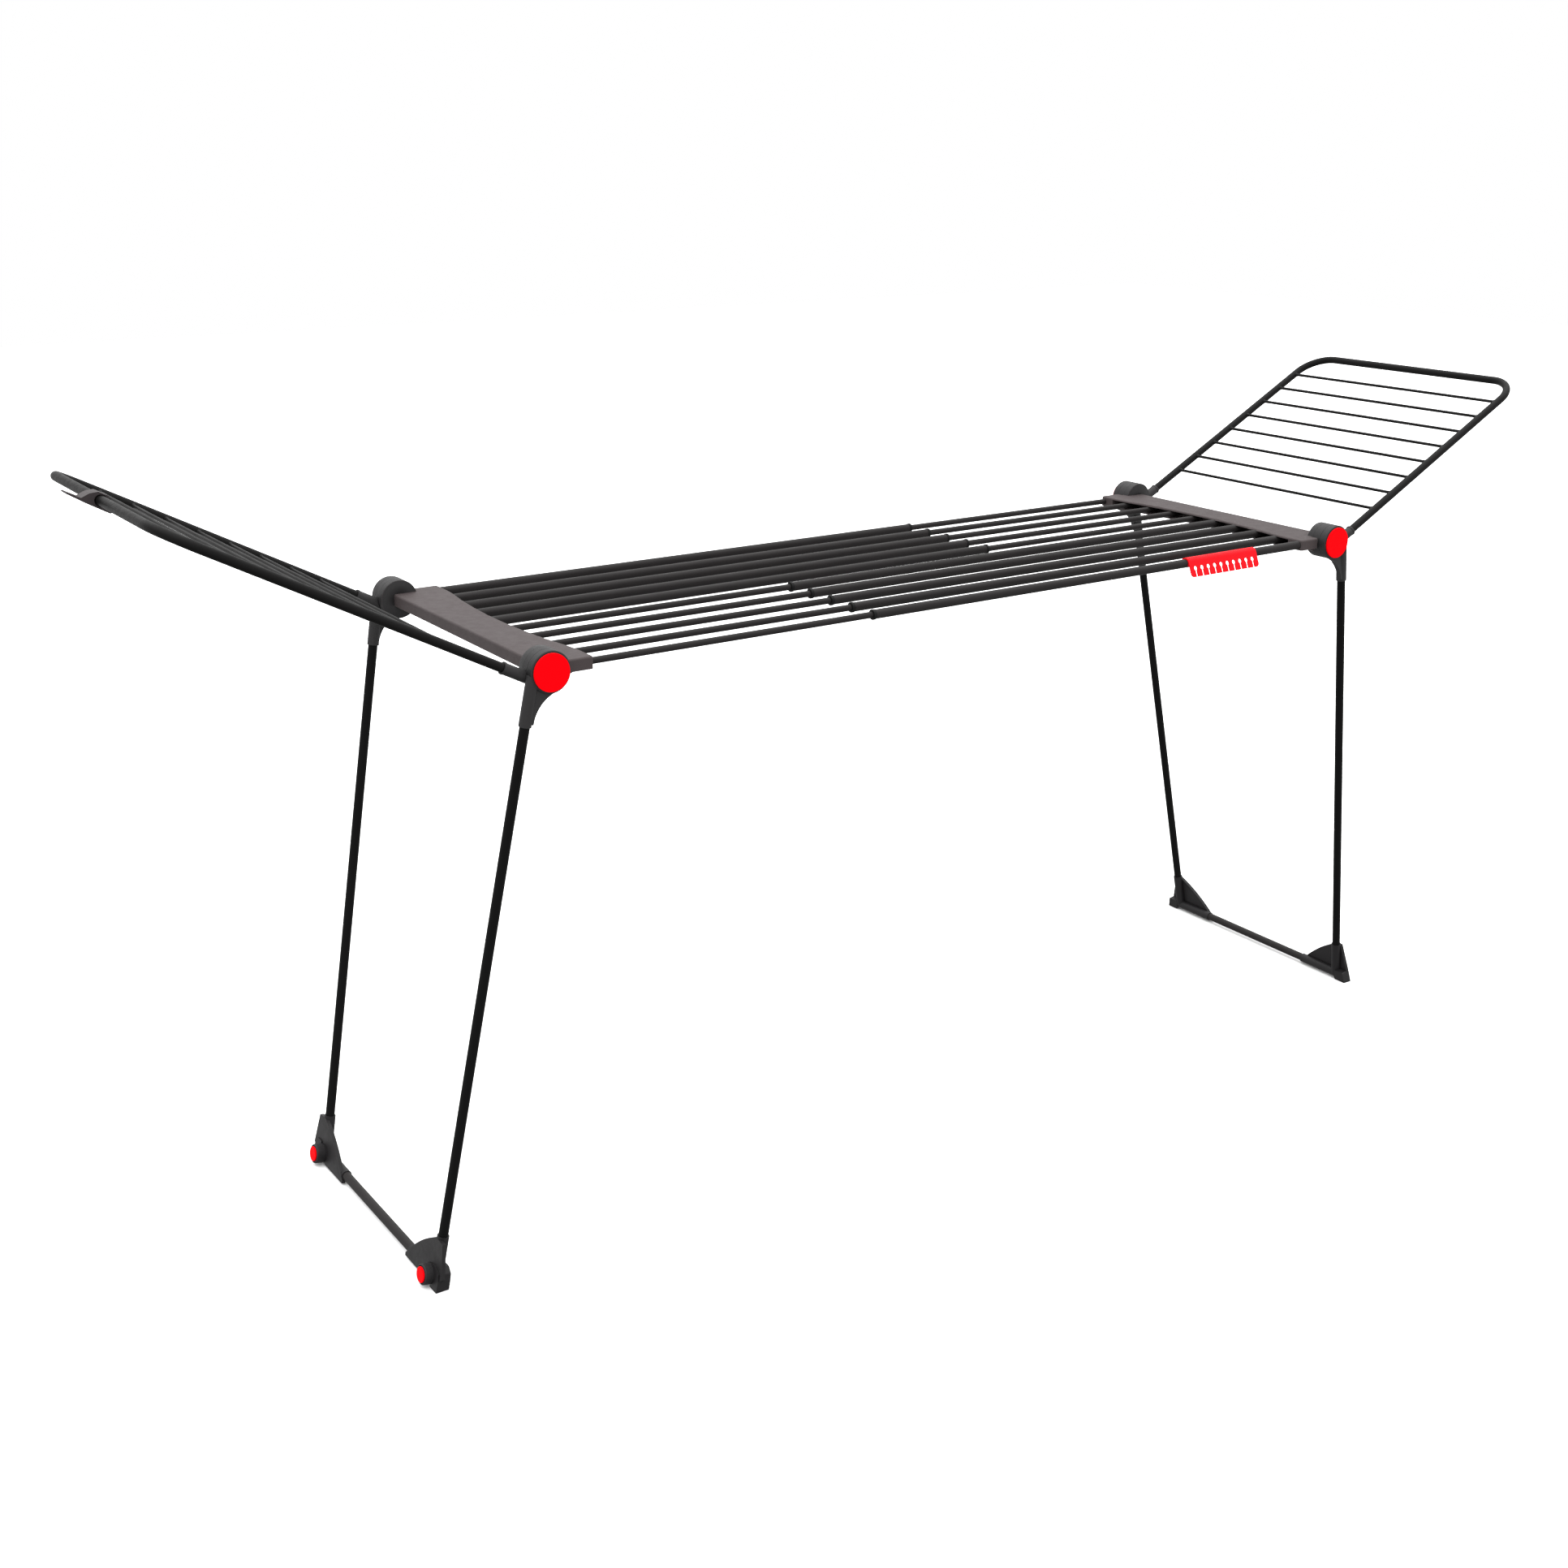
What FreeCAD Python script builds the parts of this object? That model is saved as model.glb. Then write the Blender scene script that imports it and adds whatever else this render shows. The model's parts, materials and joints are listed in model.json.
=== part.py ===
import FreeCAD, Part
import math
import os

# Extendable clothes drying rack, in millimetres.
# X runs from the left end to the right end, +Y points away from the near side, +Z is up.
# The origin is on the floor, under the middle of the rack's bounding box.
# Most pieces are built in an end frame: origin on the fold axis at the middle of the rack,
# X pointing outward from the table, Z up. The left end is the mirror image of the right.

Vector = FreeCAD.Vector
ORIGIN = Vector(0, 0, 0)
X_AXIS = Vector(1, 0, 0)
Y_AXIS = Vector(0, 1, 0)
Z_AXIS = Vector(0, 0, 1)

# Overall sizes
HUB_HEIGHT = 995.0  # fold axes above the floor
HUB_SPAN = 1702.0  # between the fold axes, with the table part way extended
TABLE_MIDDLE = 20.5  # X midway between the fold axes: the lock clip lengthens the left end
CAP_FACE = 300.0  # outer face of the hub caps, from the middle of the rack
SIDES = {"near": -1, "far": 1}
ENDS = {"left": -1, "right": 1}

# Table rails
RAIL_COUNT = 10
RAIL_PITCH = 60.1
OUTER_RAIL_R = 8.0
OUTER_RAIL_WALL = 0.5
INNER_RAIL_R = 5.5
INNER_RAIL_WALL = 0.5
OUTER_RAIL_MOUTH = 242.0  # open end of an outer rail, past the middle of the rack
INNER_RAIL_REACH = 200.0  # free end of an inner rail, past the middle of the rack
RAIL_ROOT = 4.0  # rail ends sit this far inside the fold axis
EDGE_RAIL_ROOT = 44.0  # the outermost rails stop short of the wing rings
SLIDE_GAP = 0.08  # radial gap of the telescoping and running fits
COLLAR_R = 8.9
COLLAR_FLANGE = 5.0
COLLAR_SPIGOT = 14.0
BUSH_LENGTH = 14.0

# End brackets, in the end frame
BRACKET_OUT = 10.0  # outer edge, outward from the fold axis
BRACKET_WIDE = 80.0  # rail-side edge at the corners, inward from the fold axis
BRACKET_WAIST = 61.0  # rail-side edge at the middle
WAIST_HALF = 246.0  # half length of the waisted stretch of that edge
WAIST_SHARE = 0.8  # share of the edge's S-curve taken by its long inner arc
BRACKET_HALF = 280.5
BRACKET_CORNER = 5.0
LOBE_START = 35.5  # the lobes that hold the outermost rails start here
LOBE_KEEL = 7.0  # depth of the web under each lobe
KEEL_SHOULDER = 12.0  # the web thins out between these distances from the lobe's start
KEEL_TIP = 26.0
HALF_DEPTH = 10.0  # top and bottom faces above and below the fold axis
TOP_ROUND = 3.5
TOP_SKIN = 3.3
BOTTOM_SKIN = 2.2
SKIRT = 3.5
RIB_THICK = 4.0
RIB_PLACES = (14.0, 32.0)
PLATE_HALF = {"left": 268.4, "right": 264.1}
CAVITY_HALF = {"left": 250.0, "right": 246.0}

# Hub stack, as distances from the middle of the rack
RING_R = 33.0
RING_ROUND = 2.0
RING_GAP = 0.6  # between a turning ring and the bracket beside it
EAR_R = 32.4
EAR_WEB_ANGLE = 30.0  # degrees from straight down, where the web leaves the ear
SWEEP_R = 34.0  # sockets keep clear of their neighbours' rings inside this radius
LEG_SWEEP_R = 42.0  # the leg socket keeps clear of the wing socket inside this radius
EAR = {"left": (255.0, 268.4), "right": (250.7, 264.1)}
WING_RING = {"left": (269.0, 281.5), "right": (264.7, 281.5)}
LEG_RING = (282.0, 296.5)
PIN_R = 5.0
PIN_GAP = 0.05
PIN_START = {"left": 255.0, "right": 250.7}
CAP_R = 29.5
CAP_BACK = 296.8
CAP_ROUND = 1.6

# Leg frames
LEG_SPLAY = {"left": 10.75, "right": 10.43}  # degrees outward from straight down
LEG_OFFSET = {"left": 25.5, "right": 23.5}  # leg axis outward from the fold axis
LEG_TOP = 289.25  # leg axis from the middle of the rack, at hub level
LEG_BOTTOM = 234.0  # the same at the floor
LEG_R = 8.0
LEG_WALL = 0.7
LEG_SOCKET_R = 9.9
LEG_SOCKET_END = 86.0
LEG_START = 42.0
LEG_SOCKET_START = 8.0
HUB_WEB = 10.0  # thickness of the fillet between ring and socket
HUB_FILLET_R = 60.0
CROSSBAR_R = 8.0
CROSSBAR_RISE = 13.0
CROSSBAR_END = 165.0

# Feet
FOOT_SLEEVE_R = 9.9
FOOT_SLEEVE_TOP = 86.0
FOOT_SLEEVE_END = 12.0
LEG_END = 40.0  # the leg tube stops this far above the floor
BAR_SLEEVE_R = 9.5
BAR_SLEEVE_END = 141.0
BAR_SLEEVE_ROOT = 236.0
FAN_BACK = 3.5  # faces of the fan plate, outward from the leg's axis
FAN_FRONT = 10.0
FAN_CREST = [(236.0, 83.0), (190.0, 56.0), (148.0, 19.0)]  # bowed top edge: Y and rise above the floor
FAN_BASE = [(136.0, 7.0), (136.0, 2.0), (244.0, 2.0)]
FAN_SIDE = {"left": [(270.0, 24.0), (259.0, 80.0)], "right": [(262.0, 24.0), (248.0, 84.0)]}
PAD_BACK = -10.0
PAD_FRONT = {"left": 12.0, "right": 10.0}
PAD_ROUND = 2.5
SOLE_SPARE = 4.0  # cut back to the floor after the leg is splayed
PAD_OUTLINE = {
    "left": [(236, 38), (252, 38), (262, 30), (263, 18), (262, -SOLE_SPARE), (238, -SOLE_SPARE)],
    "right": [(238, 24), (262, 24), (267, -SOLE_SPARE), (244, -SOLE_SPARE), (238, 5)],
}
WHEEL_R = 17.0
WHEEL_BACK = 8.0  # wheel faces, outward from the leg's axis
WHEEL_FRONT = 26.0
WHEEL_CENTRE = 231.0
WHEEL_RISE = 17.6
WHEEL_GROOVE_R = 15.0
WHEEL_GROOVE = 2.0
WHEEL_GAP = 0.8  # between the wheel and the foot round it
AXLE_R = 3.0
AXLE_BACK = -4.0
WHEEL_CAP_R = 13.0
WHEEL_CAP_THICK = 2.4

# Wings
WING_RISE = 28.0  # degrees above level, outward
WING_OFFSET = 21.4  # wing tube axis below the fold axis, square to the wing
WING_HALF = {"left": 275.25, "right": 271.0}  # side tube axes from the middle of the rack
WING_R = 7.5
WING_WALL = 0.6
WING_REACH = 604.5  # end bar axis from the fold axis
WING_BEND_R = 60.0
WING_SOCKET_R = 9.2
WING_SOCKET_START = 10.0
WING_SOCKET_END = 67.0
WING_START = 40.0
WING_LIP_R = 9.9
WING_LIP = 3.0
WING_ROD_R = 3.0
WING_ROD_COUNT = 8
WING_ROD_FIRST = {"left": 136.5, "right": 142.5}
WING_ROD_PITCH = {"left": 55.1, "right": 55.8}

# Hanger comb, clipped over the near rail of the right half
COMB_LENGTH = 176.0
COMB_FROM_HUB = 293.0  # its middle, inward from the right fold axis
COMB_SKIN = 2.4
COMB_SLOPE = 66.0  # degrees below level
COMB_DROP = 29.0  # length of the sloping plate
COMB_HOLES = 10
COMB_PITCH = 16.5
COMB_HOLE_R = 4.4
COMB_SLOT = 4.0
COMB_HOLE_PLACE = 13.0  # hole centres, down the plate
COMB_CORNER = 7.0

# Transport lock clip on the left wing's end bar
CLIP_HALF = 13.0
CLIP_RECESS_R = 9.2
CLIP_RECESS = 5.0
CLIP_OUTLINE = [  # round the bar's axis: outward along the wing, and square to it
    (-23.5, -8.0),
    (-18.5, -12.0),
    (19.5, -11.0),
    (47.5, -9.0),
    (47.5, -6.5),
    (26.5, -6.5),
    (18.0, 4.0),
    (8.0, 10.5),
    (-6.0, 10.5),
    (-23.5, -2.0),
]


def rod(start, end, radius):
    run = end - start
    return Part.makeCylinder(radius, run.Length, start, run)


def tube(start, end, radius, wall):
    return rod(start, end, radius).cut(rod(start, end, radius - wall))


def disc(radius, low, high):
    """A round disc on the fold axis, from low to high along Y."""
    return rod(Vector(0, low, 0), Vector(0, high, 0), radius)


def slab(points, run):
    """A closed outline of straight edges, thickened along run."""
    outline = Part.makePolygon(points + [points[0]])
    return Part.Face(outline).extrude(run)


def block(low, high):
    size = high - low
    return Part.makeBox(size.x, size.y, size.z, low)


def fused(shapes):
    whole = shapes[0]
    for shape in shapes[1:]:
        whole = whole.fuse(shape)
    return whole.removeSplitter()


def drilled(shape, tools):
    for tool in tools:
        shape = shape.cut(tool)
    return shape


def mirrored_y(shape):
    return shape.mirror(ORIGIN, Y_AXIS)


def for_side(shape, side):
    """Pieces are drawn on the far side; the near one is its mirror image."""
    if side == "near":
        return mirrored_y(shape)
    return shape


def at_end(shape, end):
    """Move a piece from the end frame to its end of the rack."""
    if end == "left":
        shape = shape.mirror(ORIGIN, X_AXIS)
    return shape.translated(Vector(TABLE_MIDDLE + ENDS[end] * HUB_SPAN / 2, 0, HUB_HEIGHT))


def export(shape, node):
    shape.exportStep(f"parts/{node}.step")


# ---- table rails ----

def rail_y(row):
    """Row 0 is the far edge of the table and the last row is the near edge."""
    return RAIL_PITCH * ((RAIL_COUNT - 1) / 2 - row)


def is_back(row):
    return row < RAIL_COUNT / 2


def is_edge(row):
    return row in (0, RAIL_COUNT - 1)


def rail_root(row):
    """Where a rail's fixed end lies, from the middle of the rack."""
    inset = EDGE_RAIL_ROOT if is_edge(row) else RAIL_ROOT
    return HUB_SPAN / 2 - inset


def rail_point(row, x):
    """A point on a rail's axis, x from the middle of the table."""
    return Vector(TABLE_MIDDLE + x, rail_y(row), HUB_HEIGHT)


def outer_sign(row):
    """The back outer rails are fixed at the left end, the front ones at the right end."""
    return -1 if is_back(row) else 1


def outer_rail(row):
    sign = outer_sign(row)
    root = rail_point(row, sign * rail_root(row))
    mouth = rail_point(row, -sign * OUTER_RAIL_MOUTH)
    return tube(root, mouth, OUTER_RAIL_R, OUTER_RAIL_WALL)


def inner_rail(row):
    sign = outer_sign(row)
    root = rail_point(row, -sign * rail_root(row))
    free = rail_point(row, sign * INNER_RAIL_REACH)
    return tube(root, free, INNER_RAIL_R, INNER_RAIL_WALL)


def collar(row):
    """Plastic ring plugged into an outer rail's mouth, which guides the inner rail."""
    sign = outer_sign(row)
    tip = rail_point(row, -sign * (OUTER_RAIL_MOUTH + COLLAR_FLANGE))
    mouth = rail_point(row, -sign * OUTER_RAIL_MOUTH)
    inside = rail_point(row, -sign * (OUTER_RAIL_MOUTH - COLLAR_SPIGOT))
    flange = rod(tip, mouth, COLLAR_R)
    flange = flange.makeFillet(1.0, [flange.Edges[2]])
    spigot = rod(mouth, inside, OUTER_RAIL_R - OUTER_RAIL_WALL)
    bore = rod(tip, inside, INNER_RAIL_R + SLIDE_GAP)
    return fused([flange, spigot]).cut(bore)


def bush(row):
    """Plastic sleeve on an inner rail's free end, which slides inside the outer rail."""
    sign = outer_sign(row)
    free = rail_point(row, sign * INNER_RAIL_REACH)
    back = rail_point(row, sign * (INNER_RAIL_REACH - BUSH_LENGTH))
    radius = OUTER_RAIL_R - OUTER_RAIL_WALL - SLIDE_GAP
    return rod(free, back, radius).cut(rod(free, back, INNER_RAIL_R))


# ---- end brackets ----

def arc_about(centre, start, end):
    """The short arc from start to end about a centre."""
    radius = (start - centre).Length
    halfway = (start - centre) + (end - centre)
    middle = centre + halfway * (radius / halfway.Length)
    return Part.Arc(start, middle, end).toShape()


def bracket_outline():
    """Plan of the end bracket: a straight outer edge and a waisted rail-side edge."""
    rise = BRACKET_WIDE - BRACKET_WAIST
    chord = WAIST_HALF ** 2 + rise ** 2
    inner_r = WAIST_SHARE * chord / (2 * rise)
    outer_r = (1 - WAIST_SHARE) * chord / (2 * rise)
    waist_x = -BRACKET_WAIST
    wide_x = -BRACKET_WIDE
    bend_x = waist_x - WAIST_SHARE * rise
    bend_y = WAIST_SHARE * WAIST_HALF
    corner_x = wide_x + BRACKET_CORNER
    corner_y = BRACKET_HALF - BRACKET_CORNER
    edges = []
    low = Vector(bend_x, -bend_y, 0)
    high = Vector(bend_x, bend_y, 0)
    edges.append(Part.Arc(low, Vector(waist_x, 0, 0), high).toShape())
    for sign in (1, -1):
        bend = Vector(bend_x, sign * bend_y, 0)
        wide = Vector(wide_x, sign * WAIST_HALF, 0)
        round_start = Vector(wide_x, sign * corner_y, 0)
        round_end = Vector(corner_x, sign * BRACKET_HALF, 0)
        out = Vector(BRACKET_OUT, sign * BRACKET_HALF, 0)
        edges.append(arc_about(Vector(wide_x + outer_r, sign * WAIST_HALF, 0), bend, wide))
        edges.append(Part.makeLine(wide, round_start))
        edges.append(arc_about(Vector(corner_x, sign * corner_y, 0), round_start, round_end))
        edges.append(Part.makeLine(round_end, out))
    edges.append(
        Part.makeLine(
            Vector(BRACKET_OUT, -BRACKET_HALF, 0),
            Vector(BRACKET_OUT, BRACKET_HALF, 0),
        )
    )
    return Part.Wire(Part.__sortEdges__(edges))


def top_edges(shape):
    """Edges of the top face, to be rounded."""
    found = []
    for edge in shape.Edges:
        if abs(edge.BoundBox.ZMin - HALF_DEPTH) < 0.01:
            found.append(edge)
    return found


def ear(end):
    """Round boss that carries the pivot pin, with a web to the lobe on its rail side."""
    low, high = EAR[end]
    boss = disc(EAR_R, low, high)
    foot_x = -EAR_R * math.sin(math.radians(EAR_WEB_ANGLE))
    foot_z = -EAR_R * math.cos(math.radians(EAR_WEB_ANGLE))
    web = slab(
        [
            Vector(0, low, HALF_DEPTH - TOP_ROUND),
            Vector(-LOBE_START - SKIRT, low, HALF_DEPTH - TOP_ROUND),
            Vector(-LOBE_START - SKIRT, low, -HALF_DEPTH),
            Vector(foot_x, low, foot_z),
            Vector(0, low, -EAR_R),
        ],
        Vector(0, high - low, 0),
    )
    keel = slab(
        [
            Vector(-LOBE_START, low, -HALF_DEPTH + 1),
            Vector(-LOBE_START, low, -HALF_DEPTH - LOBE_KEEL),
            Vector(-LOBE_START - KEEL_SHOULDER, low, -HALF_DEPTH - LOBE_KEEL * 0.3),
            Vector(-LOBE_START - KEEL_TIP, low, -HALF_DEPTH + 1),
        ],
        Vector(0, BRACKET_HALF - LOBE_KEEL - low, 0),
    )
    return fused([boss, web, keel])


def bracket(end):
    """Moulded end bracket: a flat box, open on the rail side, with ears and cross ribs."""
    plan = Part.Face(bracket_outline())
    body = plan.extrude(Z_AXIS * (2 * HALF_DEPTH)).translated(Z_AXIS * -HALF_DEPTH)
    body = body.makeFillet(TOP_ROUND, top_edges(body))
    half = CAVITY_HALF[end]
    cavity = block(
        Vector(-BRACKET_WIDE - 5, -half, -HALF_DEPTH + BOTTOM_SKIN),
        Vector(BRACKET_OUT - SKIRT, half, HALF_DEPTH - TOP_SKIN),
    )
    body = body.cut(cavity)
    ribs = []
    for place in RIB_PLACES:
        low = Vector(-place - RIB_THICK / 2, -half, -HALF_DEPTH + BOTTOM_SKIN)
        high = Vector(-place + RIB_THICK / 2, half, HALF_DEPTH - TOP_SKIN)
        ribs.append(block(low, high))
    body = fused([body] + ribs)
    for sign in (1, -1):
        notch_low = min(sign * PLATE_HALF[end], sign * (BRACKET_HALF + 5))
        notch_high = max(sign * PLATE_HALF[end], sign * (BRACKET_HALF + 5))
        notch = block(
            Vector(-LOBE_START, notch_low, -HALF_DEPTH - 1),
            Vector(BRACKET_OUT + 1, notch_high, HALF_DEPTH + 1),
        )
        body = body.cut(notch)
    lug = ear(end)
    body = fused([body, lug, mirrored_y(lug)])
    low, high = WING_RING[end]
    ring_room = disc(SWEEP_R, low - RING_GAP, high + RING_GAP)
    body = drilled(body, [ring_room, mirrored_y(ring_room)])
    pin = disc(PIN_R, PIN_START[end], LEG_RING[1])
    body = drilled(body, [pin, mirrored_y(pin)])
    for row in range(RAIL_COUNT):
        outer_here = outer_sign(row) == ENDS[end]
        radius = OUTER_RAIL_R if outer_here else INNER_RAIL_R
        inset = EDGE_RAIL_ROOT if is_edge(row) else RAIL_ROOT
        start = Vector(-inset, rail_y(row), 0)
        body = body.cut(rod(start, start - X_AXIS * BRACKET_WIDE, radius))
    return at_end(body, end)


# ---- pivots ----

def pivot_pin(end):
    return disc(PIN_R, PIN_START[end], CAP_BACK)


def hub_cap():
    """Domed cap that snaps over the pin's end."""
    cap = disc(CAP_R, CAP_BACK, CAP_FACE)
    rim = [edge for edge in cap.Edges if abs(edge.BoundBox.YMin - CAP_FACE) < 0.01]
    return cap.makeFillet(CAP_ROUND, rim)


def both_sides(shape):
    return Part.makeCompound([shape, mirrored_y(shape)])


# ---- leg frames, drawn hanging straight down from the fold axis ----

def leg_drop(end):
    """Distance from the fold axis to the floor, along the splayed leg."""
    splay = math.radians(LEG_SPLAY[end])
    return (HUB_HEIGHT + LEG_OFFSET[end] * math.sin(splay)) / math.cos(splay)


def leg_point(end, drop):
    """A point on the far leg's axis, a given distance below the fold axis."""
    share = drop / leg_drop(end)
    return Vector(LEG_OFFSET[end], LEG_TOP + (LEG_BOTTOM - LEG_TOP) * share, -drop)


def foot_point(end, y, rise, out=0.0):
    """A point in the leg's frame: rise above the floor, out from the leg's axis."""
    return Vector(LEG_OFFSET[end] + out, y, rise - leg_drop(end))


def splayed(shape, end):
    turned = shape.rotated(ORIGIN, Y_AXIS, -LEG_SPLAY[end])
    return at_end(turned, end)


def leg_tube(end):
    return tube(leg_point(end, LEG_START), leg_point(end, leg_drop(end) - LEG_END), LEG_R, LEG_WALL)


def leg_hub(end):
    """Ring on the pivot pin with a socket for the leg and a deep fillet on the table side."""
    low, high = LEG_RING
    ring = disc(RING_R, low, high)
    rim = [edge for edge in ring.Edges if edge.BoundBox.YMin > high - 1]
    ring = ring.makeFillet(RING_ROUND, rim)
    socket = rod(leg_point(end, LEG_SOCKET_START), leg_point(end, LEG_SOCKET_END), LEG_SOCKET_R)
    offset = LEG_OFFSET[end]
    flank = offset - LEG_SOCKET_R
    centre_x = flank - HUB_FILLET_R
    reach = RING_R + HUB_FILLET_R
    centre_z = -math.sqrt(reach ** 2 - centre_x ** 2)
    centre = Vector(centre_x, low + 1, centre_z)
    on_ring = Vector(centre_x, 0, centre_z) * (RING_R / reach) + Vector(0, low + 1, 0)
    on_flank = Vector(flank, low + 1, centre_z)
    beside = Vector(offset, low + 1, centre_z)
    above = Vector(offset, low + 1, 0)
    web = Part.Wire(
        [
            arc_about(centre, on_ring, on_flank),
            Part.makeLine(on_flank, beside),
            Part.makeLine(beside, above),
            Part.makeLine(above, on_ring),
        ]
    )
    web = Part.Face(web).extrude(Y_AXIS * HUB_WEB)
    arm = fused([socket, web])
    arm = drilled(arm, [disc(LEG_SWEEP_R, low - 30, low + 3), disc(SWEEP_R, high, high + 30)])
    hub = fused([ring, arm])
    hub = hub.cut(disc(PIN_R + PIN_GAP, low - 1, high + 1))
    return hub.cut(rod(leg_point(end, LEG_START), leg_point(end, LEG_SOCKET_END + 5), LEG_R))


def crossbar(end):
    low = foot_point(end, -CROSSBAR_END, CROSSBAR_RISE)
    high = foot_point(end, CROSSBAR_END, CROSSBAR_RISE)
    return tube(low, high, CROSSBAR_R, LEG_WALL)


def fan_plate(end):
    """Fan-shaped plate over the outer side of the leg and the crossbar, with a bowed top edge."""
    corners = []
    for y, rise in FAN_CREST + FAN_BASE + FAN_SIDE[end]:
        corners.append(foot_point(end, y, rise, FAN_BACK))
    edges = [Part.Arc(corners[0], corners[1], corners[2]).toShape()]
    for start, finish in zip(corners[2:], corners[3:] + corners[:1]):
        edges.append(Part.makeLine(start, finish))
    return Part.Face(Part.Wire(edges)).extrude(X_AXIS * (FAN_FRONT - FAN_BACK))


def foot_pad(end):
    """Sole block under the leg. The left one is a rounded stub, the right one flares."""
    points = [foot_point(end, y, rise, PAD_BACK) for y, rise in PAD_OUTLINE[end]]
    pad = slab(points, X_AXIS * (PAD_FRONT[end] - PAD_BACK))
    upright = [
        edge
        for edge in pad.Edges
        if edge.BoundBox.XLength > 15 and edge.BoundBox.ZMin > 16 - leg_drop(end)
    ]
    return pad.makeFillet(PAD_ROUND, upright)


def foot(end):
    """Foot moulding: sleeves for the leg and the crossbar behind a fan-shaped plate."""
    top = leg_drop(end) - FOOT_SLEEVE_TOP
    sleeve = rod(leg_point(end, top), leg_point(end, leg_drop(end) - FOOT_SLEEVE_END), FOOT_SLEEVE_R)
    bar_end = foot_point(end, BAR_SLEEVE_END, CROSSBAR_RISE)
    bar_root = foot_point(end, BAR_SLEEVE_ROOT, CROSSBAR_RISE)
    bar_sleeve = rod(bar_end, bar_root, BAR_SLEEVE_R)
    body = fused([sleeve, bar_sleeve, fan_plate(end), foot_pad(end)])
    leg_hole = rod(leg_point(end, top - 5), leg_point(end, leg_drop(end) - LEG_END), LEG_R)
    bar_hole = rod(
        foot_point(end, BAR_SLEEVE_END - 5, CROSSBAR_RISE),
        foot_point(end, CROSSBAR_END, CROSSBAR_RISE),
        CROSSBAR_R,
    )
    holes = [leg_hole, bar_hole]
    if end == "left":
        wheel_room = rod(wheel_point(WHEEL_BACK - WHEEL_GAP), wheel_point(WHEEL_FRONT), WHEEL_R + WHEEL_GAP)
        holes.append(wheel_room)
        holes.append(wheel_axle())
    return drilled(body, holes)


def level_sole(shape):
    """Cut the splayed foot flat along the floor."""
    below = block(Vector(-2000, -500, -50), Vector(2000, 500, 0))
    return shape.cut(below)


# ---- transport wheels on the left feet ----

def wheel_point(out):
    return foot_point("left", WHEEL_CENTRE, WHEEL_RISE, out)


def wheel_axle():
    return rod(wheel_point(AXLE_BACK), wheel_point(WHEEL_FRONT), AXLE_R)


def wheel():
    body = rod(wheel_point(WHEEL_BACK), wheel_point(WHEEL_FRONT), WHEEL_R)
    body = body.makeFillet(2.0, [edge for edge in body.Edges if edge.Closed])
    recess = rod(wheel_point(WHEEL_FRONT - WHEEL_GROOVE), wheel_point(WHEEL_FRONT + 1), WHEEL_GROOVE_R)
    boss = rod(wheel_point(WHEEL_FRONT - WHEEL_GROOVE), wheel_point(WHEEL_FRONT + 1), WHEEL_CAP_R)
    body = body.cut(recess.cut(boss))
    return body.cut(rod(wheel_point(WHEEL_BACK - 1), wheel_point(WHEEL_FRONT + 1), AXLE_R + PIN_GAP))


def wheel_cap():
    start = wheel_point(WHEEL_FRONT + SLIDE_GAP)
    cap = rod(start, wheel_point(WHEEL_FRONT + WHEEL_CAP_THICK), WHEEL_CAP_R)
    rim = [edge for edge in cap.Edges if edge.BoundBox.XMin > start.x + 1]
    return cap.makeFillet(1.0, rim)


# ---- wings, drawn level and then tilted up ----

def tilted(shape, end):
    turned = shape.rotated(ORIGIN, Y_AXIS, -WING_RISE)
    return at_end(turned, end)


def wing_path(end):
    """Centre line of the U-shaped frame tube."""
    half = WING_HALF[end]
    start = WING_START
    bend = WING_REACH - WING_BEND_R
    level = -WING_OFFSET
    edges = [Part.makeLine(Vector(start, half, level), Vector(bend, half, level))]
    edges.append(
        arc_about(
            Vector(bend, half - WING_BEND_R, level),
            Vector(bend, half, level),
            Vector(WING_REACH, half - WING_BEND_R, level),
        )
    )
    edges.append(
        Part.makeLine(
            Vector(WING_REACH, half - WING_BEND_R, level),
            Vector(WING_REACH, WING_BEND_R - half, level),
        )
    )
    edges.append(
        arc_about(
            Vector(bend, WING_BEND_R - half, level),
            Vector(WING_REACH, WING_BEND_R - half, level),
            Vector(bend, -half, level),
        )
    )
    edges.append(Part.makeLine(Vector(bend, -half, level), Vector(start, -half, level)))
    return Part.Wire(edges)


def wing_sweep(end, radius):
    ring = Part.makeCircle(radius, Vector(WING_START, WING_HALF[end], -WING_OFFSET), X_AXIS)
    return wing_path(end).makePipeShell([Part.Wire([ring])], True, False)


def wing_frame(end):
    return wing_sweep(end, WING_R).cut(wing_sweep(end, WING_R - WING_WALL))


def wing_rod_places(end):
    first = WING_ROD_FIRST[end]
    pitch = WING_ROD_PITCH[end]
    return [first + pitch * number for number in range(WING_ROD_COUNT)]


def wing_rods(end):
    """Thin rods welded between the side tubes."""
    half = WING_HALF[end]
    side = rod(Vector(0, half, -WING_OFFSET), Vector(WING_REACH, half, -WING_OFFSET), WING_R)
    rods = []
    for place in wing_rod_places(end):
        wire = rod(
            Vector(place, -half, -WING_OFFSET),
            Vector(place, half, -WING_OFFSET),
            WING_ROD_R,
        )
        rods.append(drilled(wire, [side, mirrored_y(side)]))
    return Part.makeCompound(rods)


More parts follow.
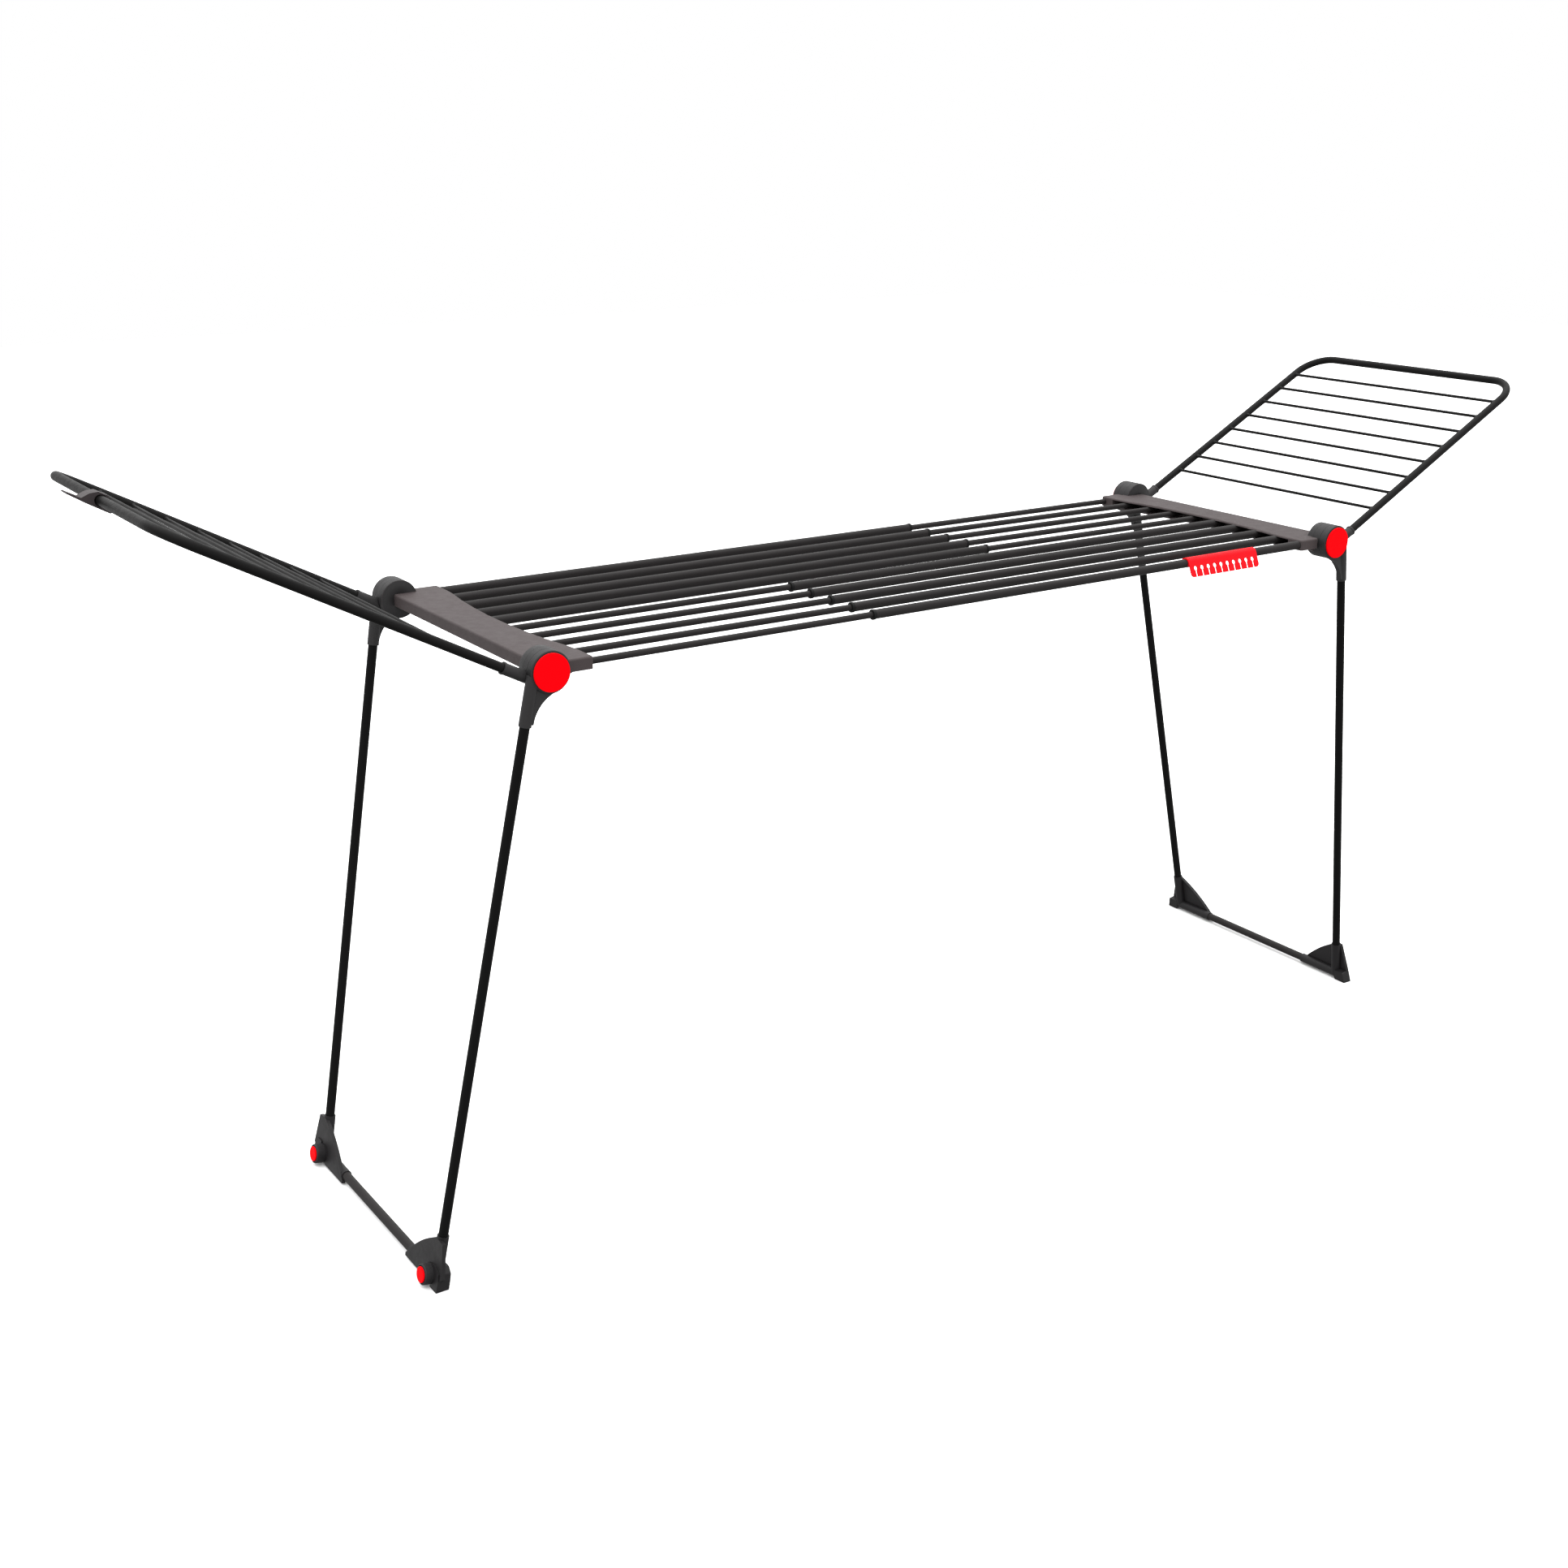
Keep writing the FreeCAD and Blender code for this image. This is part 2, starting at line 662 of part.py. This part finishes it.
def wing_hub(end):
    """Ring on the pivot pin with a socket for one side tube of the wing."""
    low, high = WING_RING[end]
    half = WING_HALF[end]
    ring = disc(RING_R, low, high)
    root = Vector(WING_SOCKET_START, half, -WING_OFFSET)
    tip = Vector(WING_SOCKET_END, half, -WING_OFFSET)
    socket = rod(root, tip, WING_SOCKET_R)
    lip = rod(tip - X_AXIS * WING_LIP, tip, WING_LIP_R)
    socket = fused([socket, lip])
    socket = drilled(socket, [disc(SWEEP_R, low - 30, low), disc(SWEEP_R, high, high + 30)])
    hub = fused([ring, socket])
    hub = hub.cut(disc(PIN_R + PIN_GAP, low - 1, high + 1))
    return hub.cut(rod(Vector(WING_START, half, -WING_OFFSET), tip + X_AXIS * 5, WING_R))


# ---- accessories ----

def comb():
    """Hanger comb: a hook over the near rail and a sloping plate of holes open at the bottom."""
    inner = OUTER_RAIL_R + SLIDE_GAP
    outer = inner + COMB_SKIN
    slope = math.radians(COMB_SLOPE)
    down = Vector(0, -math.cos(slope), -math.sin(slope))
    normal = Vector(0, -math.sin(slope), math.cos(slope))
    run = X_AXIS * COMB_LENGTH
    ring = rod(ORIGIN, run, outer).cut(rod(ORIGIN, run, inner))
    mouth = slab(
        [
            Vector(0, 0, 0),
            Vector(0, -outer * 2, -outer),
            Vector(0, -outer, -outer * 3),
            Vector(0, outer * 2, -outer * 2),
            Vector(0, outer * 1.5, -outer * 0.6),
        ],
        run,
    )
    hook = ring.cut(mouth)
    corners = [
        normal * inner,
        normal * outer,
        normal * outer + down * COMB_DROP,
        normal * inner + down * COMB_DROP,
    ]
    plate = slab(corners, run)
    corner_edges = [
        edge
        for edge in plate.Edges
        if edge.CenterOfMass.z < -COMB_DROP * 0.6 and edge.BoundBox.XLength < 0.1
    ]
    plate = plate.makeFillet(COMB_CORNER, corner_edges)
    tools = []
    margin = (COMB_LENGTH - COMB_PITCH * (COMB_HOLES - 1)) / 2
    for number in range(COMB_HOLES):
        place = X_AXIS * (margin + COMB_PITCH * number) + down * COMB_HOLE_PLACE
        low = place + normal * (inner - 2)
        tools.append(Part.makeCylinder(COMB_HOLE_R, COMB_SKIN + 4, low, normal))
        side = X_AXIS * (COMB_SLOT / 2)
        drop = down * COMB_DROP
        slot = slab([low - side, low + side, low + side + drop, low - side + drop], normal * (COMB_SKIN + 4))
        tools.append(slot)
    plate = drilled(plate, tools)
    start = HUB_SPAN / 2 - COMB_FROM_HUB - COMB_LENGTH / 2
    return fused([hook, plate]).translated(rail_point(RAIL_COUNT - 1, start))


def lock_clip():
    """Clip round the wing's end bar, with a prong that holds the folded rack shut."""
    bar = Vector(WING_REACH, 0, -WING_OFFSET)
    outline = [bar + Vector(x, -CLIP_HALF, z) for x, z in CLIP_OUTLINE]
    body = slab(outline, Y_AXIS * (2 * CLIP_HALF))
    along = Y_AXIS * (CLIP_HALF + 1)
    body = body.cut(rod(bar - along, bar + along, WING_R))
    inset = Y_AXIS * (CLIP_HALF - CLIP_RECESS)
    far_recess = rod(bar + inset, bar + along, CLIP_RECESS_R)
    near_recess = rod(bar - inset, bar - along, CLIP_RECESS_R)
    return drilled(body, [far_recess, near_recess])


# ---- write every node ----

os.makedirs("parts", exist_ok=True)

for row in range(RAIL_COUNT):
    export(outer_rail(row), f"outer_rail_{row + 1:02d}")
    export(inner_rail(row), f"inner_rail_{row + 1:02d}")

back_rows = [row for row in range(RAIL_COUNT) if is_back(row)]
front_rows = [row for row in range(RAIL_COUNT) if not is_back(row)]
export(Part.makeCompound([collar(row) for row in back_rows]), "rail_collars_back")
export(Part.makeCompound([collar(row) for row in front_rows]), "rail_collars_front")
export(Part.makeCompound([bush(row) for row in back_rows]), "rail_bushes_back")
export(Part.makeCompound([bush(row) for row in front_rows]), "rail_bushes_front")

for end in ENDS:
    export(bracket(end), f"{end}_bracket")
    export(at_end(both_sides(pivot_pin(end)), end), f"{end}_pivot_pins")
    export(at_end(both_sides(hub_cap()), end), f"{end}_hub_caps")
    export(splayed(crossbar(end), end), f"{end}_crossbar")
    export(tilted(wing_frame(end), end), f"{end}_wing_frame")
    export(tilted(wing_rods(end), end), f"{end}_wing_rods")
    for side in SIDES:
        export(splayed(for_side(leg_hub(end), side), end), f"{end}_leg_hub_{side}")
        export(splayed(for_side(leg_tube(end), side), end), f"{end}_leg_{side}")
        export(level_sole(splayed(for_side(foot(end), side), end)), f"{end}_foot_{side}")
        export(tilted(for_side(wing_hub(end), side), end), f"{end}_wing_hub_{side}")

for side in SIDES:
    export(splayed(for_side(wheel(), side), "left"), f"wheel_{side}")
    export(splayed(for_side(wheel_cap(), side), "left"), f"wheel_cap_{side}")

export(splayed(both_sides(wheel_axle()), "left"), "wheel_axles")
export(comb(), "hanger_comb")
export(tilted(lock_clip(), "left"), "lock_clip")
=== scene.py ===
import json
import math

import bmesh
import bpy
from mathutils import Matrix, Vector


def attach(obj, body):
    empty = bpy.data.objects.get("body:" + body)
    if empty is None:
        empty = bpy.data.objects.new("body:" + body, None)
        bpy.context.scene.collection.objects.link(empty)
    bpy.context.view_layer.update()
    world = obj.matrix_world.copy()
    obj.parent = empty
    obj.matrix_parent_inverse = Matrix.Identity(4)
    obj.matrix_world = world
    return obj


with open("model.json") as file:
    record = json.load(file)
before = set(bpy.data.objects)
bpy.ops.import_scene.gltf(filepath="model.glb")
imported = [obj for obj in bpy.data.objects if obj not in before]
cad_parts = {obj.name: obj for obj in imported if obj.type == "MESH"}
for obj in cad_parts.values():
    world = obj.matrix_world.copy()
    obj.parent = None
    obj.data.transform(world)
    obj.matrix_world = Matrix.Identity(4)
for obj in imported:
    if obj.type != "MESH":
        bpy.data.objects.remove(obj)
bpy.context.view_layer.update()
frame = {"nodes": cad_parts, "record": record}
nodes = frame["nodes"]
scene = bpy.context.scene


# ---- camera, at the photograph's viewing angle ----

CAMERA_PLACE = Vector((-2.0973, -2.7861, 1.7672))
CAMERA_YAW = math.radians(34.317)  # from +Y towards +X
CAMERA_PITCH = math.radians(18.784)  # below level
CAMERA_ROLL = math.radians(0.256)
CAMERA_SENSOR = 36.0  # mm
CAMERA_LENS = 44.82  # mm
CAMERA_CLIP = (0.05, 60.0)
CAMERA_SHIFT = (-0.00624, -0.00063)


def add_camera():
    flat = math.cos(CAMERA_PITCH)
    forward = Vector((math.sin(CAMERA_YAW) * flat, math.cos(CAMERA_YAW) * flat, -math.sin(CAMERA_PITCH)))
    level = Vector((math.cos(CAMERA_YAW), -math.sin(CAMERA_YAW), 0))
    above = level.cross(forward)
    right = level * math.cos(CAMERA_ROLL) + above * math.sin(CAMERA_ROLL)
    up = above * math.cos(CAMERA_ROLL) - level * math.sin(CAMERA_ROLL)
    data = bpy.data.cameras.new("camera")
    data.sensor_width = CAMERA_SENSOR
    data.lens = CAMERA_LENS
    data.shift_x, data.shift_y = CAMERA_SHIFT
    data.clip_start, data.clip_end = CAMERA_CLIP
    camera = bpy.data.objects.new("camera", data)
    turn = Matrix((right, up, -forward)).transposed().to_4x4()
    camera.matrix_world = Matrix.Translation(CAMERA_PLACE) @ turn
    scene.collection.objects.link(camera)
    scene.camera = camera


# ---- materials ----

NOISE_LOW = 0.3  # most of a noise's values lie between these two
NOISE_HIGH = 0.7
FINE_DEPTH = 0.0001  # bump depths, in metres
GRAIN_DEPTH = 0.00012
MARK_DEPTH = 0.0003
# How noise is stretched, to run along one axis or to stay even
ALONG_X = (0.08, 1.0, 1.0)
ALONG_Y = (1.0, 0.08, 1.0)
ALONG_Z = (1.0, 1.0, 0.08)
EVEN = (0.6, 0.6, 0.6)
TURNED = (0.2, 3.0, 0.2)

def new_material(name):
    material = bpy.data.materials.new(name)
    material.use_nodes = True
    tree = material.node_tree
    shader = tree.nodes["Principled BSDF"]
    place = tree.nodes.new("ShaderNodeTexCoord").outputs["Object"]
    return material, tree, shader, place


def noise(tree, place, scale, detail=2.0, roughness=0.5, stretch=None):
    if stretch:
        mapping = tree.nodes.new("ShaderNodeMapping")
        mapping.inputs["Scale"].default_value = stretch
        tree.links.new(place, mapping.inputs["Vector"])
        place = mapping.outputs["Vector"]
    node = tree.nodes.new("ShaderNodeTexNoise")
    node.inputs["Scale"].default_value = scale
    node.inputs["Detail"].default_value = detail
    node.inputs["Roughness"].default_value = roughness
    tree.links.new(place, node.inputs["Vector"])
    return node.outputs["Fac"]


def ramp(tree, value, stops):
    node = tree.nodes.new("ShaderNodeValToRGB")
    band = node.color_ramp
    while len(band.elements) < len(stops):
        band.elements.new(0.5)
    for element, (place, colour) in zip(band.elements, stops):
        element.position = place
        element.color = colour
    tree.links.new(value, node.inputs["Fac"])
    return node.outputs["Color"]


def spread(tree, value, low, high):
    node = tree.nodes.new("ShaderNodeMapRange")
    node.inputs["From Min"].default_value = NOISE_LOW
    node.inputs["From Max"].default_value = NOISE_HIGH
    node.inputs["To Min"].default_value = low
    node.inputs["To Max"].default_value = high
    tree.links.new(value, node.inputs["Value"])
    return node.outputs["Result"]


def bump(tree, heights, shader):
    """Chain of bumps: each is a height, its strength and its depth in metres."""
    normal = None
    for height, strength, depth in heights:
        node = tree.nodes.new("ShaderNodeBump")
        node.inputs["Strength"].default_value = strength
        node.inputs["Distance"].default_value = depth
        tree.links.new(height, node.inputs["Height"])
        if normal:
            tree.links.new(normal, node.inputs["Normal"])
        normal = node.outputs["Normal"]
    tree.links.new(normal, shader.inputs["Normal"])


def tint(colour, gain):
    return tuple(channel * gain for channel in colour) + (1.0,)


def enamel(name, colour, rough, stretch, gloss=0.2):
    """Stove enamel on tube: orange peel, soft mottling and faint rub marks along the tube."""
    material, tree, shader, place = new_material(name)
    cloud = noise(tree, place, 14.0, 4.0, 0.6)
    rub = noise(tree, place, 260.0, 3.0, 0.6, stretch)
    peel = noise(tree, place, 900.0, 2.0)
    stops = [(0.3, tint(colour, 0.88)), (0.55, tint(colour, 1.0)), (0.75, tint(colour, 1.12))]
    shade = ramp(tree, cloud, stops)
    mix = tree.nodes.new("ShaderNodeMix")
    mix.data_type = "RGBA"
    mix.inputs["B"].default_value = tint(colour, 1.35)
    tree.links.new(spread(tree, rub, -0.1, 0.35), mix.inputs["Factor"])
    tree.links.new(shade, mix.inputs["A"])
    tree.links.new(mix.outputs["Result"], shader.inputs["Base Color"])
    tree.links.new(spread(tree, rub, rough - 0.05, rough + 0.09), shader.inputs["Roughness"])
    shader.inputs["Specular IOR Level"].default_value = gloss
    bump(tree, [(peel, 0.12, FINE_DEPTH), (rub, 0.05, FINE_DEPTH)], shader)
    return material


def moulded(name, colour, rough, grain=1500.0, depth=0.3, gloss=0.25):
    """Injection-moulded plastic: spark-eroded grain, soft mottling and handling marks."""
    material, tree, shader, place = new_material(name)
    cloud = noise(tree, place, 9.0, 5.0, 0.62)
    marks = noise(tree, place, 60.0, 6.0, 0.7)
    grains = noise(tree, place, grain, 2.0, 0.6)
    stops = [(0.28, tint(colour, 0.94)), (0.52, tint(colour, 1.0)), (0.78, tint(colour, 1.06))]
    shade = ramp(tree, cloud, stops)
    mix = tree.nodes.new("ShaderNodeMix")
    mix.data_type = "RGBA"
    mix.blend_type = "MULTIPLY"
    mix.inputs["Factor"].default_value = 1.0
    speck = ramp(tree, grains, [(0.35, (0.9, 0.9, 0.9, 1.0)), (0.6, (1.04, 1.04, 1.04, 1.0))])
    tree.links.new(shade, mix.inputs["A"])
    tree.links.new(speck, mix.inputs["B"])
    tree.links.new(mix.outputs["Result"], shader.inputs["Base Color"])
    tree.links.new(spread(tree, marks, rough - 0.07, rough + 0.08), shader.inputs["Roughness"])
    shader.inputs["Specular IOR Level"].default_value = gloss
    bump(tree, [(grains, depth, GRAIN_DEPTH), (marks, 0.06, MARK_DEPTH)], shader)
    return material


def drawn_steel(name, colour):
    """Bright pin steel with turning marks round it."""
    material, tree, shader, place = new_material(name)
    lines = noise(tree, place, 900.0, 3.0, 0.6, TURNED)
    shade = ramp(tree, lines, [(0.3, tint(colour, 0.8)), (0.7, tint(colour, 1.1))])
    tree.links.new(shade, shader.inputs["Base Color"])
    tree.links.new(spread(tree, lines, 0.22, 0.4), shader.inputs["Roughness"])
    shader.inputs["Metallic"].default_value = 1.0
    bump(tree, [(lines, 0.15, FINE_DEPTH)], shader)
    return material


def make_materials():
    return {
        "rail_enamel": enamel("rail_enamel", (0.0134, 0.0119, 0.0120), 0.45, ALONG_X, 0.1),
        "leg_enamel": enamel("leg_enamel", (0.0030, 0.0030, 0.0031), 0.45, ALONG_Z, 0.06),
        "wing_enamel": enamel("wing_enamel", (0.0046, 0.0043, 0.0043), 0.45, EVEN, 0.08),
        "wire_enamel": enamel("wire_enamel", (0.0056, 0.0052, 0.0052), 0.45, ALONG_Y, 0.08),
        "collar_plastic": moulded("collar_plastic", (0.005, 0.005, 0.005), 0.5, gloss=0.1),
        "bracket_plastic": moulded("bracket_plastic", (0.049, 0.0395, 0.0400), 0.58, gloss=0.14),
        "hub_plastic": moulded("hub_plastic", (0.0185, 0.0178, 0.0184), 0.5, gloss=0.2),
        "foot_plastic": moulded("foot_plastic", (0.0088, 0.0081, 0.0088), 0.52, gloss=0.2),
        "wheel_plastic": moulded("wheel_plastic", (0.0150, 0.0142, 0.0150), 0.5, gloss=0.2),
        "red_plastic": moulded("red_plastic", (0.86, 0.0001, 0.0030), 0.45, 2600.0, 0.1, 0.02),
        "comb_plastic": moulded("comb_plastic", (0.72, 0.0038, 0.0090), 0.42, 2600.0, 0.1, 0.05),
        "clip_plastic": moulded("clip_plastic", (0.027, 0.021, 0.0225), 0.5),
        "pin_steel": drawn_steel("pin_steel", (0.5, 0.5, 0.5)),
    }


def dress_nodes(materials):
    slots = {part["node"]: part["material_slot"] for part in frame["record"]["subparts"]}
    for name, node in nodes.items():
        node.data.materials.clear()
        node.data.materials.append(materials[slots[name]])


# ---- small pieces over the frame, in metres ----

SHARP_ANGLE = math.radians(38)
ROD_R = 0.0030
BEAD_LONG = 0.0042
BEAD_R = 0.0043
BEAD_SUNK = 0.0006  # into the side tube
BEAD_TOE = 0.0002
BEAD_BORE = 0.9  # share of the rod's radius, hidden inside the rod
BEAD_RIPPLE = 0.00022
BEAD_STEPS = 20
ROUND_STEPS = 72
HUB_RING_R = 0.033
ON_RING = 0.0002  # how near a point on the ring lies to its radius
EAR_SKIN_R = 0.0326  # just outside the bracket's ear
EAR_DEPTH = {"left": 0.255, "right": 0.2507}  # inner face of the ear, from the middle of the rack
SHROUD_GAP = 0.0003
SHROUD_DISH = 0.0005
AXIS_R = 0.0001  # a profile starts this far from its axis, so that no face is empty
CAP_FACE = 0.3  # outer face of the hub caps, from the middle of the rack
CAP_RIM_R = 0.0290
CAP_RIM_HALF = 0.0005
CAP_RIM_ROOT = 0.0013  # below the cap's face
CAP_RIM_CREST = 0.0001
TREAD_RIBS = 5
TREAD_EDGE = 0.003
TREAD_PROUD = 0.00025
TREAD_ROOT = 0.0004
TREAD_STEPS = 48


def add_piece(name, shape, material, body):
    mesh = bpy.data.meshes.new(name)
    bmesh.ops.recalc_face_normals(shape, faces=shape.faces)
    shape.to_mesh(mesh)
    shape.free()
    mesh.shade_smooth()
    mesh.set_sharp_from_angle(angle=SHARP_ANGLE)
    mesh.materials.append(material)
    piece = bpy.data.objects.new(name, mesh)
    scene.collection.objects.link(piece)
    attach(piece, body)


def lathe(shape, profile, centre, axis, steps, wobble=None):
    """Turn a closed profile of (radius, height) points round an axis and add it to shape."""
    turn = axis.to_track_quat("Z", "Y").to_matrix()
    rings = []
    for number in range(steps):
        angle = 2 * math.pi * number / steps
        ring = []
        for index, (radius, height) in enumerate(profile):
            reach = radius + (wobble(angle, index) if wobble else 0.0)
            spot = Vector((reach * math.cos(angle), reach * math.sin(angle), height))
            ring.append(shape.verts.new(centre + turn @ spot))
        rings.append(ring)
    count = len(profile)
    for number in range(steps):
        here, after = rings[number], rings[(number + 1) % steps]
        for index in range(count):
            ahead = (index + 1) % count
            shape.faces.new((here[index], here[ahead], after[ahead], after[index]))


def islands(name):
    """The separate shells in a CAD node, each as a list of points."""
    mesh = nodes[name].data
    group = list(range(len(mesh.vertices)))

    def root(index):
        while group[index] != index:
            group[index] = group[group[index]]
            index = group[index]
        return index

    for edge in mesh.edges:
        group[root(edge.vertices[0])] = root(edge.vertices[1])
    merged = {}
    for vertex in mesh.vertices:
        key = tuple(round(value, 6) for value in vertex.co)
        first = merged.setdefault(key, vertex.index)
        group[root(vertex.index)] = root(first)
    shells = {}
    for vertex in mesh.vertices:
        shells.setdefault(root(vertex.index), []).append(vertex.co.copy())
    return list(shells.values())


def middle_of(points):
    low = Vector([min(point[axis] for point in points) for axis in range(3)])
    high = Vector([max(point[axis] for point in points) for axis in range(3)])
    return low, high, (low + high) / 2


def weld_beads(end, material):
    """A run of weld round each end of every wing rod, where it meets the side tube."""
    shape = bmesh.new()
    for points in islands(f"{end}_wing_rods"):
        low, high, centre = middle_of(points)
        for sign, tip in ((-1, low.y), (1, high.y)):
            root = Vector((centre.x, tip + sign * BEAD_SUNK, centre.z))
            profile = [
                (ROD_R * BEAD_BORE, -BEAD_LONG),
                (ROD_R + BEAD_TOE, -BEAD_LONG),
                (BEAD_R * 0.86, -BEAD_LONG * 0.62),
                (BEAD_R, -BEAD_LONG * 0.3),
                (BEAD_R * 1.04, 0.0),
                (ROD_R * BEAD_BORE, 0.0),
            ]
            phase = 40 * centre.x + sign

            def ripple(angle, index):
                hidden = index in (0, 5)
                if hidden:
                    return 0.0
                return BEAD_RIPPLE * math.sin(5 * angle + phase) * math.sin(2 * angle)

            lathe(shape, profile, root, Vector((0, sign, 0)), BEAD_STEPS, ripple)
    add_piece(f"{end}_wing_weld_beads", shape, material, f"{end}_wing")


def hub_shrouds(end, material):
    """Turned cover over the bracket's ear, flush with the rings beside it."""
    shape = bmesh.new()
    hub = joint_named(f"{end}_leg_fold", "pos_m")
    radius = HUB_RING_R
    inner = EAR_DEPTH[end] - SHROUD_GAP
    outer = ring_inner_face(end, hub) - SHROUD_GAP
    for sign in (-1, 1):
        profile = [
            (AXIS_R, inner),
            (radius * 0.30, inner),
            (radius * 0.33, inner - SHROUD_DISH),
            (radius * 0.80, inner - SHROUD_DISH),
            (radius * 0.83, inner),
            (radius - 0.0016, inner),
            (radius - 0.0004, inner + 0.0006),
            (radius, inner + 0.0018),
            (radius, outer),
            (EAR_SKIN_R, outer),
            (EAR_SKIN_R, inner + 0.0012),
            (AXIS_R, inner + 0.0002),
        ]
        lathe(shape, profile, Vector((hub.x, 0, hub.z)), Vector((0, sign, 0)), ROUND_STEPS)
    add_piece(f"{end}_hub_shrouds", shape, material, f"{end}_half")


def joint_named(name, field):
    """A joint's place (pos_m) or its axis, as a vector."""
    for joint in frame["record"]["behaviour"]["joints"]:
        if joint["name"] == name:
            return Vector(joint[field])
    raise KeyError(name)


def ring_inner_face(end, hub):
    """Distance from the middle of the rack to the wing ring's inner face."""
    distances = []
    for vertex in nodes[f"{end}_wing_hub_far"].data.vertices:
        reach = math.hypot(vertex.co.x - hub.x, vertex.co.z - hub.z)
        if abs(reach - HUB_RING_R) < ON_RING:
            distances.append(vertex.co.y)
    return min(distances)


def cap_rims(end, material):
    """Raised bead round the edge of each hub cap."""
    shape = bmesh.new()
    hub = joint_named(f"{end}_leg_fold", "pos_m")
    root = CAP_FACE - CAP_RIM_ROOT
    crest = CAP_FACE - CAP_RIM_CREST
    profile = [
        (CAP_RIM_R - CAP_RIM_HALF, root),
        (CAP_RIM_R - CAP_RIM_HALF * 0.6, crest - CAP_RIM_CREST),
        (CAP_RIM_R, crest),
        (CAP_RIM_R + CAP_RIM_HALF * 0.6, crest - CAP_RIM_CREST),
        (CAP_RIM_R + CAP_RIM_HALF, root),
    ]
    for sign in (-1, 1):
        lathe(shape, profile, Vector((hub.x, 0, hub.z)), Vector((0, sign, 0)), ROUND_STEPS)
    add_piece(f"{end}_cap_rims", shape, material, f"{end}_half")


def wheel_treads(side, material):
    """Soft tyre ribs round a transport wheel."""
    shape = bmesh.new()
    points = [vertex.co for vertex in nodes[f"wheel_{side}"].data.vertices]
    middle = middle_of(points)[2]
    axis = joint_named(f"{side}_wheel_spin", "axis").normalized()
    reaches = [(point - middle).dot(axis) for point in points]
    back, front = min(reaches), max(reaches)
    radius = max(((point - middle) - axis * (point - middle).dot(axis)).length for point in points)
    pitch = (front - back - 2 * TREAD_EDGE) / TREAD_RIBS
    for number in range(TREAD_RIBS):
        place = back + TREAD_EDGE + pitch * (number + 0.5)
        profile = [
            (radius - TREAD_ROOT, place - pitch * 0.34),
            (radius + TREAD_PROUD, place - pitch * 0.22),
            (radius + TREAD_PROUD, place + pitch * 0.22),
            (radius - TREAD_ROOT, place + pitch * 0.34),
        ]
        lathe(shape, profile, middle, axis, TREAD_STEPS)
    add_piece(f"wheel_tread_{side}", shape, material, f"{side}_wheel")


def add_details(materials):
    for end in ("left", "right"):
        weld_beads(end, materials["collar_plastic"])
        hub_shrouds(end, materials["hub_plastic"])
        cap_rims(end, materials["red_plastic"])
    for side in ("near", "far"):
        wheel_treads(side, materials["wheel_plastic"])


# ---- floor and light ----

DOME_POWER = 6.4
# The dome's stops: height, from -1 below to 1 overhead, and its share of the power
DOME = [(-1.0, 0.05), (0.0, 0.2), (0.3, 0.2), (0.6, 0.3), (0.8, 0.54), (1.0, 0.58)]
FLOOR_PAINT = (0.85, 0.85, 0.85)
FLOOR_HALF = 14.0
FLOOR_DROP = 0.0005  # just below the soles


def add_floor():
    mesh = bpy.data.meshes.new("floor")
    shape = bmesh.new()
    bmesh.ops.create_grid(shape, x_segments=1, y_segments=1, size=FLOOR_HALF)
    shape.to_mesh(mesh)
    shape.free()
    floor = bpy.data.objects.new("floor", mesh)
    floor.location.z = -FLOOR_DROP
    scene.collection.objects.link(floor)
    material, tree, shader, place = new_material("floor_paint")
    cloud = noise(tree, place, 1.2, 3.0)
    shade = ramp(tree, cloud, [(0.3, tint(FLOOR_PAINT, 1.0)), (0.7, tint(FLOOR_PAINT, 1.05))])
    tree.links.new(shade, shader.inputs["Base Color"])
    shader.inputs["Roughness"].default_value = 0.9
    shader.inputs["Specular IOR Level"].default_value = 0.0
    mesh.materials.append(material)
    floor.visible_diffuse = False
    floor.visible_glossy = False


def add_light():
    """A soft dome, brightest overhead, in front of a white background."""
    world = bpy.data.worlds.new("studio")
    world.use_nodes = True
    tree = world.node_tree
    dome = tree.nodes["Background"]
    direction = tree.nodes.new("ShaderNodeTexCoord").outputs["Generated"]
    axes = tree.nodes.new("ShaderNodeSeparateXYZ")
    tree.links.new(direction, axes.inputs["Vector"])
    height = tree.nodes.new("ShaderNodeMapRange")
    height.inputs["From Min"].default_value = -1.0
    tree.links.new(axes.outputs["Z"], height.inputs["Value"])
    stops = [((z + 1) / 2, (level, level, level, 1.0)) for z, level in DOME]
    glow = ramp(tree, height.outputs["Result"], stops)
    tree.links.new(glow, dome.inputs["Color"])
    dome.inputs["Strength"].default_value = DOME_POWER
    paper = tree.nodes.new("ShaderNodeBackground")
    paper.inputs["Color"].default_value = (1.0, 1.0, 1.0, 1.0)
    seen = tree.nodes.new("ShaderNodeLightPath").outputs["Is Camera Ray"]
    mix = tree.nodes.new("ShaderNodeMixShader")
    tree.links.new(seen, mix.inputs[0])
    tree.links.new(dome.outputs["Background"], mix.inputs[1])
    tree.links.new(paper.outputs["Background"], mix.inputs[2])
    tree.links.new(mix.outputs["Shader"], tree.nodes["World Output"].inputs["Surface"])
    scene.world = world
    scene.view_settings.view_transform = "Standard"


add_camera()
add_floor()
add_light()
materials = make_materials()
dress_nodes(materials)
add_details(materials)
